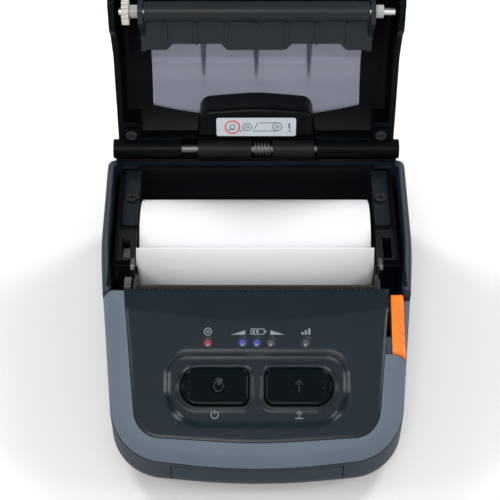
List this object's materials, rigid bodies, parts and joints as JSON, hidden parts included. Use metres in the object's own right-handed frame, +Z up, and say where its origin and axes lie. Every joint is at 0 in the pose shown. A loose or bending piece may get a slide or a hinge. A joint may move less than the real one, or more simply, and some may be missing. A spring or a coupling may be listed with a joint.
{
  "type": "receipt printer",
  "caption": "portable thermal receipt printer with its domed lid standing open on a loaded paper roll, sloping key panel, orange release lever and slide-in battery",
  "frame": {"origin": "centre of the flat underside, on the table", "axes": "+X to the right of a person facing the keys, +Y to the rear hinge, +Z up"},
  "size_m": [0.1048, 0.1384, 0.1029],
  "materials": {
    "lower_case": "fine grained dark slate plastic",
    "bumper_band": "soft slate-grey over-moulding",
    "front_panel": "polished near-black plastic",
    "bay_liner": "black moulded plastic",
    "bay_cover_left": "black moulded plastic",
    "bay_cover_right": "black moulded plastic",
    "bay_cover_screws": "blackened steel",
    "pocket_frame_left": "black moulded plastic",
    "pocket_frame_right": "black moulded plastic",
    "cover_switch": "bright sprung steel on a dark body",
    "mech_frame": "blackened sheet steel",
    "print_head": "dark glazed ceramic strip",
    "head_heatsink": "extruded aluminium",
    "head_springs": "sprung steel leaf",
    "tear_bar": "blackened steel edge",
    "stepper_motor": "plated steel can",
    "gear_axles": "turned steel pins",
    "main_board": "green circuit board",
    "board_chips": "black moulded packages",
    "button_board": "green circuit board",
    "tact_switches": "black switch bodies",
    "lens_error": "red light pipe",
    "lens_battery": "blue light pipe",
    "lens_unlit": "clear light pipe, unlit",
    "hinge_bracket": "black moulded plastic",
    "hinge_pin": "dull steel pin",
    "hinge_spring": "dull coiled spring wire",
    "dc_jack": "black jack body",
    "usb_socket": "folded steel shell",
    "battery_contacts": "gilt contact blades",
    "clip_insert": "turned brass insert",
    "case_screws": "blackened steel",
    "paper_sensor": "black sensor housing",
    "paper_tail": "thermal paper",
    "lid_shell": "black plastic",
    "lid_window": "smoky translucent plastic",
    "sensor_cover": "black plastic",
    "lid_label": "printed pictogram label",
    "roller_bracket": "black plastic",
    "platen_bushings": "grey bearing plastic",
    "lid_screws": "blackened steel",
    "platen_shaft": "ground steel shaft",
    "platen_rubber": "matt black rubber",
    "platen_gear": "ivory acetal",
    "release_lever": "glossy orange plastic",
    "latch_shaft": "steel cross shaft",
    "latch_hooks": "dark stamped steel hooks",
    "power_button": "polished black key",
    "feed_button": "polished black key",
    "drive_gear": "grey acetal",
    "idler_gear": "grey acetal",
    "motor_pinion": "grey acetal",
    "battery_case": "fine grained dark slate plastic",
    "battery_cell": "wrapped lithium cell",
    "paper_roll": "thermal paper roll",
    "paper_core": "paper tube"
  },
  "bodies": {
    "base": {"lower_case": "lower_case", "bumper_band": "bumper_band", "front_panel": "front_panel", "bay_liner": "bay_liner", "bay_cover_left": "bay_cover_left", "bay_cover_right": "bay_cover_right", "bay_cover_screws": "bay_cover_screws", "pocket_frame_left": "pocket_frame_left", "pocket_frame_right": "pocket_frame_right", "cover_switch": "cover_switch", "mech_frame": "mech_frame", "print_head": "print_head", "head_heatsink": "head_heatsink", "head_springs": "head_springs", "tear_bar": "tear_bar", "stepper_motor": "stepper_motor", "gear_axles": "gear_axles", "main_board": "main_board", "board_chips": "board_chips", "button_board": "button_board", "tact_switches": "tact_switches", "lens_error": "lens_error", "lens_battery": "lens_battery", "lens_unlit": "lens_unlit", "hinge_bracket": "hinge_bracket", "hinge_pin": "hinge_pin", "hinge_spring": "hinge_spring", "dc_jack": "dc_jack", "usb_socket": "usb_socket", "battery_contacts": "battery_contacts", "clip_insert": "clip_insert", "case_screws": "case_screws", "paper_sensor": "paper_sensor", "paper_tail": "paper_tail"},
    "lid": {"lid_shell": "lid_shell", "lid_window": "lid_window", "sensor_cover": "sensor_cover", "lid_label": "lid_label", "roller_bracket": "roller_bracket", "platen_bushings": "platen_bushings", "lid_screws": "lid_screws"},
    "platen": {"platen_shaft": "platen_shaft", "platen_rubber": "platen_rubber", "platen_gear": "platen_gear"},
    "latch": {"release_lever": "release_lever", "latch_shaft": "latch_shaft", "latch_hooks": "latch_hooks"},
    "power_key": {"power_button": "power_button"},
    "feed_key": {"feed_button": "feed_button"},
    "drive": {"drive_gear": "drive_gear"},
    "idler": {"idler_gear": "idler_gear"},
    "motor": {"motor_pinion": "motor_pinion"},
    "battery": {"battery_case": "battery_case", "battery_cell": "battery_cell"},
    "roll": {"paper_roll": "paper_roll", "paper_core": "paper_core"}
  },
  "joints": [
    {"name": "lid_hinge", "type": "hinge", "parent": "base", "child": "lid", "pos_m": [0, 0.053, 0.042], "axis": [1, 0, 0], "range_deg": [0, 103.5], "stiffness_Nm_per_rad": 0.01, "deforming": ["hinge_spring"]},
    {"name": "platen_spin", "type": "hinge", "parent": "lid", "child": "platen", "pos_m": [0, 0.06207, 0.0969], "axis": [1, 0, 0], "continuous": true},
    {"name": "drive_gear_spin", "type": "hinge", "parent": "base", "child": "drive", "pos_m": [-0.043, -0.0025, 0.028], "axis": [1, 0, 0], "continuous": true},
    {"name": "idler_gear_spin", "type": "hinge", "parent": "base", "child": "idler", "pos_m": [-0.043, -0.01251, 0.02139], "axis": [1, 0, 0], "continuous": true},
    {"name": "motor_spin", "type": "hinge", "parent": "base", "child": "motor", "pos_m": [-0.043, -0.0213, 0.025], "axis": [1, 0, 0], "continuous": true},
    {"name": "power_press", "type": "slide", "parent": "base", "child": "power_key", "axis": [0, 0.4264, -0.9045], "range_m": [0, 0.001], "stiffness_N_per_m": 300},
    {"name": "feed_press", "type": "slide", "parent": "base", "child": "feed_key", "axis": [0, 0.4264, -0.9045], "range_m": [0, 0.001], "stiffness_N_per_m": 300},
    {"name": "lever_turn", "type": "hinge", "parent": "base", "child": "latch", "pos_m": [0, -0.004, 0.022], "axis": [-1, 0, 0], "range_deg": [0, 6]},
    {"name": "paper_roll_spin", "type": "hinge", "parent": "base", "child": "roll", "pos_m": [0, 0.0255, 0.0209], "axis": [1, 0, 0], "continuous": true},
    {"name": "battery_slide", "type": "slide", "parent": "base", "child": "battery", "axis": [0, -1, 0], "range_m": [0, 0.048]}
  ],
  "couplings": [
    {"joint": "drive_gear_spin", "follows": "platen_spin", "ratio": -0.66667},
    {"joint": "idler_gear_spin", "follows": "platen_spin", "ratio": 0.66667},
    {"joint": "motor_spin", "follows": "platen_spin", "ratio": -1.1429}
  ]
}
